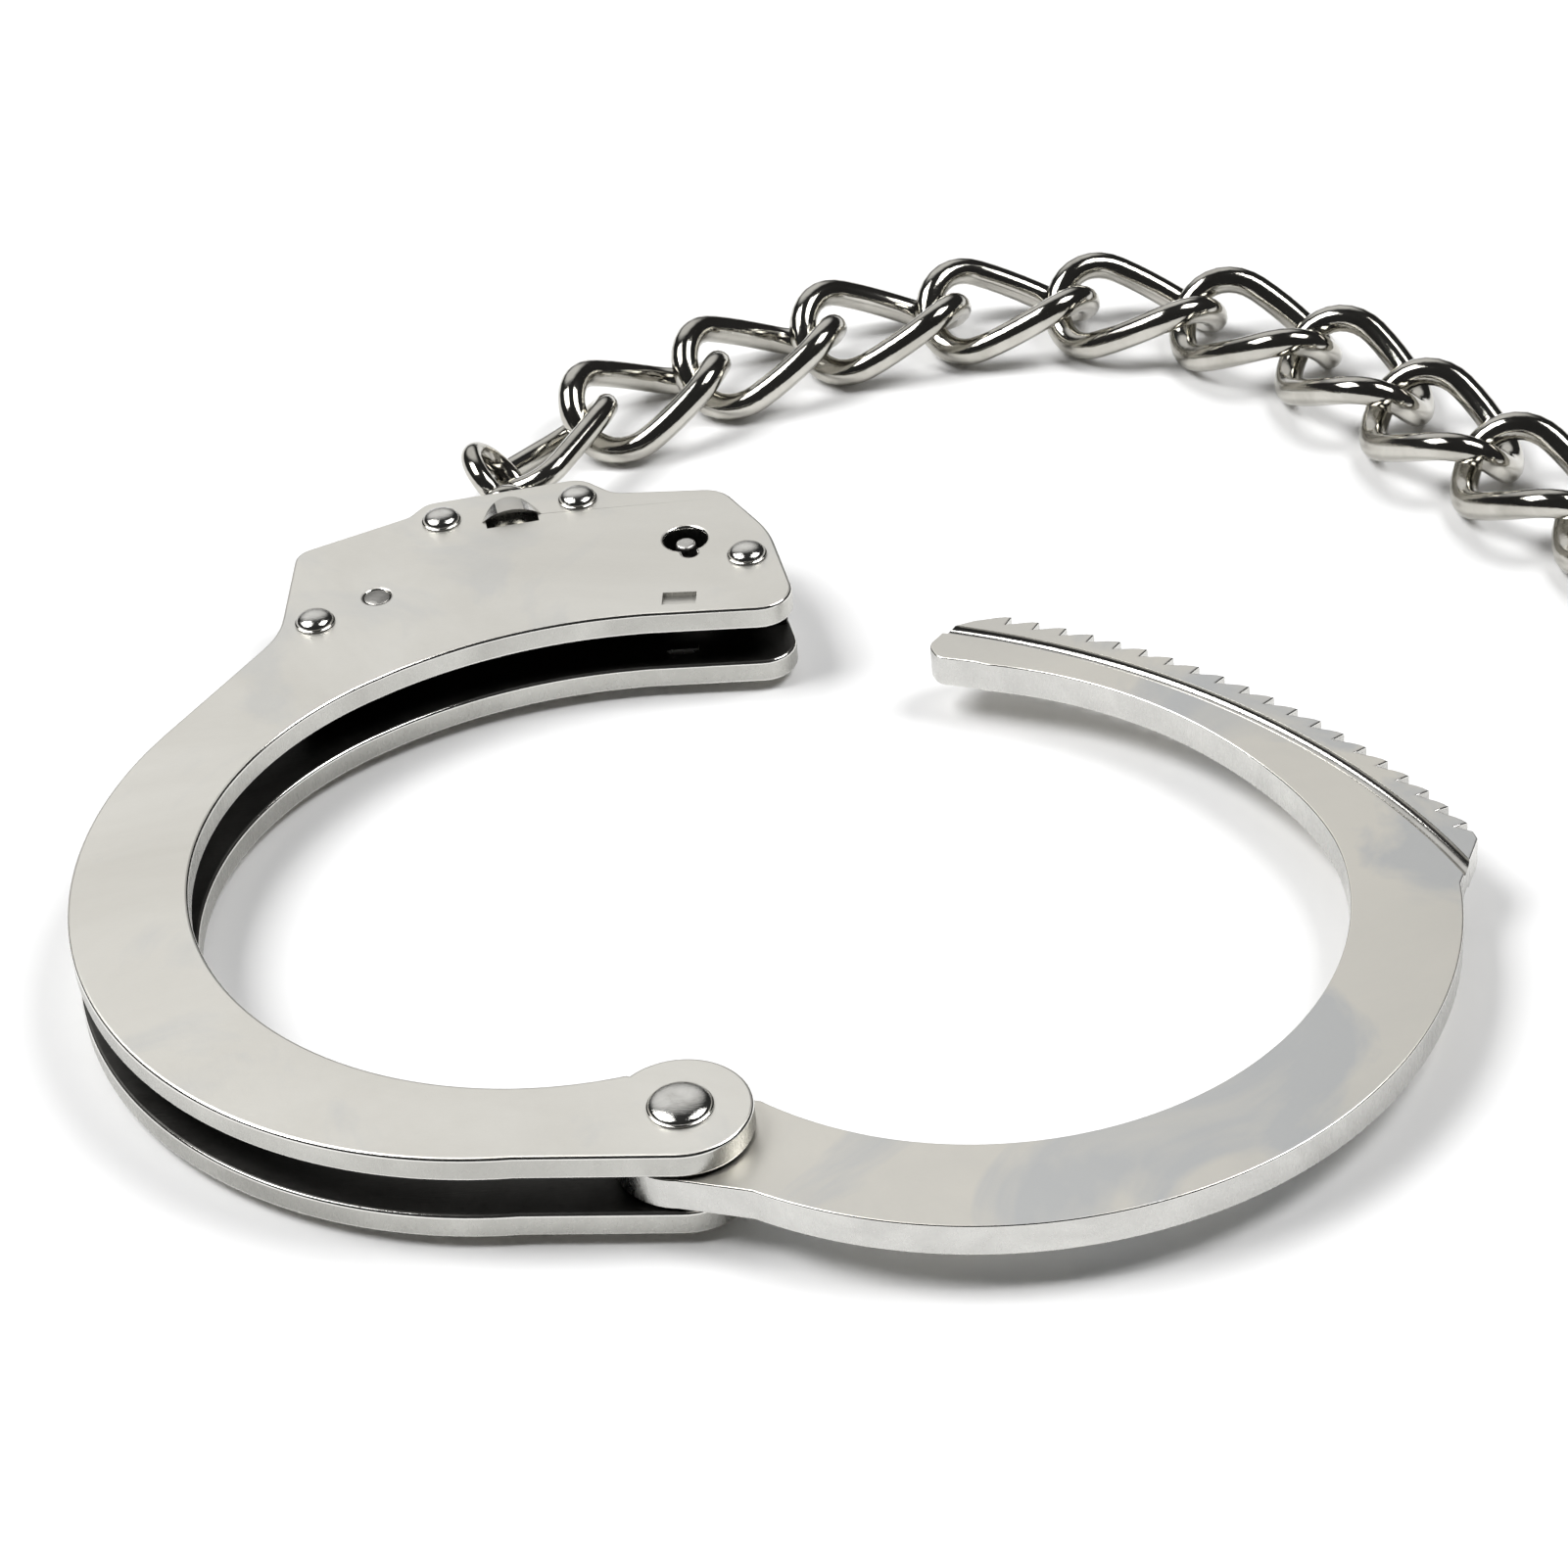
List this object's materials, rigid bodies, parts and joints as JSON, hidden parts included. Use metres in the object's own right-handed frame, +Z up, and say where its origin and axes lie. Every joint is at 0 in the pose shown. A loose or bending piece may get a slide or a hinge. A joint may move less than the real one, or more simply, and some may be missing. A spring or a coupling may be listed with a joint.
{
  "type": "handcuffs",
  "caption": "Pair of swing-through ratchet cuffs with double-plate cheeks, keyhole lock bodies and turning swivel eyes, joined by a long chain of twisted links.",
  "frame": {"origin": "middle of the whole laid-out pair, on the flat surface it lies on", "axes": "+X from the left cuff along the laid-out pair to the right cuff, +Y from the left cuff's hinge towards its lock body, +Z up out of the left cuff's keyhole face"},
  "size_m": [0.3536, 0.1588, 0.0112],
  "materials": {
    "plate_nickel": "satin nickel plate",
    "bow_nickel": "satin nickel plate",
    "rivet_nickel": "bright nickel",
    "chain_nickel": "bright nickel",
    "pin_steel": "turned steel",
    "spring_steel": "plain spring steel",
    "dark_steel": "oiled dark steel"
  },
  "bodies": {
    "left_cuff": {"left_upper_cheek_plate": "plate_nickel", "left_lower_cheek_plate": "plate_nickel", "left_lock_frame": "dark_steel", "left_hinge_rivet": "rivet_nickel", "left_side_rivet": "rivet_nickel", "left_back_rivet": "rivet_nickel", "left_shoulder_rivet": "rivet_nickel", "left_nose_rivet": "rivet_nickel", "left_pawl_pivot_pin": "pin_steel", "left_key_post": "pin_steel"},
    "left_bow_arm": {"left_bow": "bow_nickel"},
    "left_catch": {"left_pawl": "dark_steel", "left_pawl_spring": "spring_steel"},
    "left_lock_slide": {"left_double_lock_bar": "dark_steel"},
    "left_swivel_eye": {"left_swivel": "chain_nickel"},
    "right_bow_arm": {"right_bow": "bow_nickel"},
    "right_catch": {"right_pawl": "dark_steel", "right_pawl_spring": "spring_steel"},
    "right_lock_slide": {"right_double_lock_bar": "dark_steel"},
    "right_swivel_eye": {"right_swivel": "chain_nickel"},
    "oval_link_01_body": {"oval_link_01": "chain_nickel"},
    "chain_link_02_body": {"chain_link_02": "chain_nickel"},
    "chain_link_03_body": {"chain_link_03": "chain_nickel"},
    "chain_link_04_body": {"chain_link_04": "chain_nickel"},
    "chain_link_05_body": {"chain_link_05": "chain_nickel"},
    "chain_link_06_body": {"chain_link_06": "chain_nickel"},
    "chain_link_07_body": {"chain_link_07": "chain_nickel"},
    "chain_link_08_body": {"chain_link_08": "chain_nickel"},
    "chain_link_09_body": {"chain_link_09": "chain_nickel"},
    "chain_link_10_body": {"chain_link_10": "chain_nickel"},
    "chain_link_11_body": {"chain_link_11": "chain_nickel"},
    "chain_link_12_body": {"chain_link_12": "chain_nickel"},
    "chain_link_13_body": {"chain_link_13": "chain_nickel"},
    "chain_link_14_body": {"chain_link_14": "chain_nickel"},
    "chain_link_15_body": {"chain_link_15": "chain_nickel"},
    "chain_link_16_body": {"chain_link_16": "chain_nickel"},
    "chain_link_17_body": {"chain_link_17": "chain_nickel"},
    "oval_link_18_body": {"oval_link_18": "chain_nickel"},
    "right_cuff": {"right_upper_cheek_plate": "plate_nickel", "right_lower_cheek_plate": "plate_nickel", "right_lock_frame": "dark_steel", "right_hinge_rivet": "rivet_nickel", "right_side_rivet": "rivet_nickel", "right_back_rivet": "rivet_nickel", "right_shoulder_rivet": "rivet_nickel", "right_nose_rivet": "rivet_nickel", "right_pawl_pivot_pin": "pin_steel", "right_key_post": "pin_steel"}
  },
  "joints": [
    {"name": "left_bow_hinge", "type": "hinge", "parent": "left_cuff", "child": "left_bow_arm", "pos_m": [-0.12163, -0.06395, 0.0056], "axis": [0, 0, 1], "continuous": true},
    {"name": "left_pawl_pivot", "type": "hinge", "parent": "left_cuff", "child": "left_catch", "pos_m": [-0.14923, 0.01775, 0.0056], "axis": [0, 0, 1], "range_deg": [0, 4.5], "stiffness_Nm_per_rad": 0.05, "springref_deg": -11.46},
    {"name": "left_double_lock_slide", "type": "slide", "parent": "left_cuff", "child": "left_lock_slide", "axis": [-1, 0, 0], "range_m": [-0.0025, 0]},
    {"name": "left_swivel_spin", "type": "hinge", "parent": "left_cuff", "child": "left_swivel_eye", "pos_m": [-0.13729, 0.04391, 0.0056], "axis": [-0.12, 0.9928, 0], "continuous": true},
    {"name": "oval_link_01_on_eye", "type": "hinge", "parent": "left_swivel_eye", "child": "oval_link_01_body", "pos_m": [-0.13619, 0.04585, 0.00391], "axis": [0, 0, 1], "range_deg": [-4, 15]},
    {"name": "chain_link_02_turn", "type": "hinge", "parent": "oval_link_01_body", "child": "chain_link_02_body", "pos_m": [-0.12753, 0.05735, 0.0042], "axis": [0, 0, 1], "range_deg": [-6, 50]},
    {"name": "chain_link_03_turn", "type": "hinge", "parent": "chain_link_02_body", "child": "chain_link_03_body", "pos_m": [-0.11506, 0.06455, 0.0042], "axis": [0, 0, -1], "range_deg": [-37, 20]},
    {"name": "chain_link_04_turn", "type": "hinge", "parent": "chain_link_03_body", "child": "chain_link_04_body", "pos_m": [-0.1018, 0.07018, 0.0042], "axis": [0, 0, 1], "range_deg": [-17, 43]},
    {"name": "chain_link_05_turn", "type": "hinge", "parent": "chain_link_04_body", "child": "chain_link_05_body", "pos_m": [-0.08762, 0.07268, 0.0042], "axis": [0, 0, -1], "range_deg": [-43, 17]},
    {"name": "chain_link_06_turn", "type": "hinge", "parent": "chain_link_05_body", "child": "chain_link_06_body", "pos_m": [-0.07324, 0.07193, 0.0042], "axis": [0, 0, 1], "range_deg": [-14, 46]},
    {"name": "chain_link_07_turn", "type": "hinge", "parent": "chain_link_06_body", "child": "chain_link_07_body", "pos_m": [-0.05962, 0.06724, 0.0042], "axis": [0, 0, -1], "range_deg": [-51, 9]},
    {"name": "chain_link_08_turn", "type": "hinge", "parent": "chain_link_07_body", "child": "chain_link_08_body", "pos_m": [-0.04859, 0.05798, 0.0042], "axis": [0, 0, 1], "range_deg": [-10, 50]},
    {"name": "chain_link_09_turn", "type": "hinge", "parent": "chain_link_08_body", "child": "chain_link_09_body", "pos_m": [-0.04139, 0.04551, 0.0042], "axis": [0, 0, -1], "range_deg": [-30, 30]},
    {"name": "chain_link_10_turn", "type": "hinge", "parent": "chain_link_09_body", "child": "chain_link_10_body", "pos_m": [-0.03419, 0.03304, 0.0042], "axis": [0, 0, 1], "range_deg": [-34, 26]},
    {"name": "chain_link_11_turn", "type": "hinge", "parent": "chain_link_10_body", "child": "chain_link_11_body", "pos_m": [-0.02614, 0.0211, 0.0042], "axis": [0, 0, -1], "range_deg": [-26, 34]},
    {"name": "chain_link_12_turn", "type": "hinge", "parent": "chain_link_11_body", "child": "chain_link_12_body", "pos_m": [-0.01728, 0.00975, 0.0042], "axis": [0, 0, 1], "range_deg": [-34, 26]},
    {"name": "chain_link_13_turn", "type": "hinge", "parent": "chain_link_12_body", "child": "chain_link_13_body", "pos_m": [-0.00764, -0.00095, 0.0042], "axis": [0, 0, -1], "range_deg": [-26, 34]},
    {"name": "chain_link_14_turn", "type": "hinge", "parent": "chain_link_13_body", "child": "chain_link_14_body", "pos_m": [0.00272, -0.01095, 0.0042], "axis": [0, 0, 1], "range_deg": [-34, 26]},
    {"name": "chain_link_15_turn", "type": "hinge", "parent": "chain_link_14_body", "child": "chain_link_15_body", "pos_m": [0.01375, -0.02021, 0.0042], "axis": [0, 0, -1], "range_deg": [-26, 34]},
    {"name": "chain_link_16_turn", "type": "hinge", "parent": "chain_link_15_body", "child": "chain_link_16_body", "pos_m": [0.0254, -0.02867, 0.0042], "axis": [0, 0, 1], "range_deg": [-34, 26]},
    {"name": "chain_link_17_turn", "type": "hinge", "parent": "chain_link_16_body", "child": "chain_link_17_body", "pos_m": [0.03761, -0.0363, 0.0042], "axis": [0, 0, -1], "range_deg": [-26, 34]},
    {"name": "oval_link_18_turn", "type": "hinge", "parent": "chain_link_17_body", "child": "oval_link_18_body", "pos_m": [0.05033, -0.04306, 0.0042], "axis": [0, 0, 1], "range_deg": [-31, 26]},
    {"name": "right_swivel_on_link", "type": "hinge", "parent": "oval_link_18_body", "child": "right_swivel_eye", "pos_m": [0.06348, -0.04892, 0.00391], "axis": [0, 0, 1], "range_deg": [-15, 4]},
    {"name": "right_swivel_spin", "type": "hinge", "parent": "right_swivel_eye", "child": "right_cuff", "pos_m": [0.06562, -0.04955, 0.0056], "axis": [-0.9403, -0.3402, 0], "continuous": true},
    {"name": "right_bow_hinge", "type": "hinge", "parent": "right_cuff", "child": "right_bow_arm", "pos_m": [0.16719, -0.01002, 0.0056], "axis": [0, 0, 1], "continuous": true},
    {"name": "right_pawl_pivot", "type": "hinge", "parent": "right_cuff", "child": "right_catch", "pos_m": [0.09379, -0.05529, 0.0056], "axis": [0, 0, 1], "range_deg": [0, 4.5], "stiffness_Nm_per_rad": 0.05, "springref_deg": -11.46},
    {"name": "right_double_lock_slide", "type": "slide", "parent": "right_cuff", "child": "right_lock_slide", "axis": [0.225, -0.9744, 0], "range_m": [-0.0025, 0]}
  ]
}
